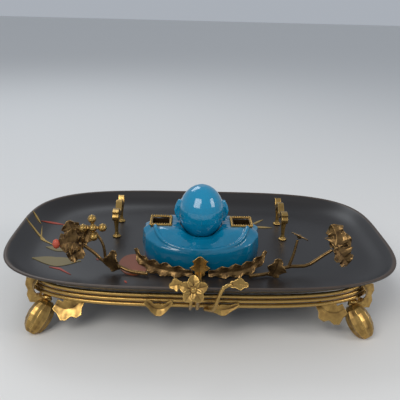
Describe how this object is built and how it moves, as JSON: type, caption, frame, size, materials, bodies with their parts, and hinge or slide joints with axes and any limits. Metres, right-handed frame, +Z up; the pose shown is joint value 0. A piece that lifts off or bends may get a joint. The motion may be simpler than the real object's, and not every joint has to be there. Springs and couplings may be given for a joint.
{
  "type": "inkstand",
  "caption": "Lacquer tray inkstand on gilt seed-pod feet, with a glazed seated figure holding two lift-out square wells, pen rests and cast leaf sprays.",
  "frame": {"origin": "on the table, under the middle of the whole inkstand", "axes": "+X along the length, +Z up, -Y towards the side with the central flower"},
  "size_m": [0.3398, 0.2396, 0.1078],
  "materials": {
    "lacquer": "satin black lacquer",
    "glaze": "turquoise glaze on porcelain",
    "coral": "coral",
    "iron": "dull",
    "dark_metal": "dark patina",
    "dark_bronze": "brown patina",
    "gilt_bronze": "gilt"
  },
  "bodies": {
    "stand": {"branch_left": "dark_bronze", "branch_right": "dark_bronze", "bud_head_left": "gilt_bronze", "centre_bud_leaf": "gilt_bronze", "centre_flower": "gilt_bronze", "centre_flower_stalk": "gilt_bronze", "centre_spray": "gilt_bronze", "centre_stem": "gilt_bronze", "coral_bud_left": "coral", "curled_leaf_left": "dark_bronze", "figure_bolt": "iron", "figure_bolt_washer": "iron", "foot_long_leaf_back_left": "gilt_bronze", "foot_long_leaf_back_right": "gilt_bronze", "foot_long_leaf_front_left": "gilt_bronze", "foot_long_leaf_front_right": "gilt_bronze", "foot_pod_back_left": "gilt_bronze", "foot_pod_back_right": "gilt_bronze", "foot_pod_front_left": "gilt_bronze", "foot_pod_front_right": "gilt_bronze", "foot_side_leaf_back_left": "gilt_bronze", "foot_side_leaf_back_right": "gilt_bronze", "foot_side_leaf_front_left": "gilt_bronze", "foot_side_leaf_front_right": "gilt_bronze", "foot_stem_back_left": "gilt_bronze", "foot_stem_back_right": "gilt_bronze", "foot_stem_front_left": "gilt_bronze", "foot_stem_front_right": "gilt_bronze", "frame_reed_bottom": "gilt_bronze", "frame_reed_middle": "gilt_bronze", "frame_reed_top": "gilt_bronze", "garland_leaf_left": "dark_bronze", "garland_leaf_right": "dark_bronze", "lacquer_tray": "lacquer", "leaf_cluster_left": "dark_bronze", "leaf_cluster_right": "dark_bronze", "pen_rest_left": "gilt_bronze", "pen_rest_nut_left_back": "iron", "pen_rest_nut_left_front": "iron", "pen_rest_nut_right_back": "iron", "pen_rest_nut_right_front": "iron", "pen_rest_right": "gilt_bronze", "porcelain_figure": "glaze", "porcelain_head": "glaze", "reed_clasp_left": "gilt_bronze", "reed_clasp_right": "gilt_bronze", "small_flower_right": "dark_bronze", "standing_leaf_right": "dark_bronze", "upright_leaf": "gilt_bronze"},
    "liner_left": {"well_liner_left": "dark_metal", "well_rim_left": "gilt_bronze"},
    "liner_right": {"well_liner_right": "dark_metal", "well_rim_right": "gilt_bronze"}
  },
  "joints": [
    {"name": "liner_left_lift", "type": "slide", "parent": "stand", "child": "liner_left", "axis": [0, 0, 1], "range_m": [0, 0.03]},
    {"name": "liner_right_lift", "type": "slide", "parent": "stand", "child": "liner_right", "axis": [0, 0, 1], "range_m": [0, 0.03]}
  ]
}
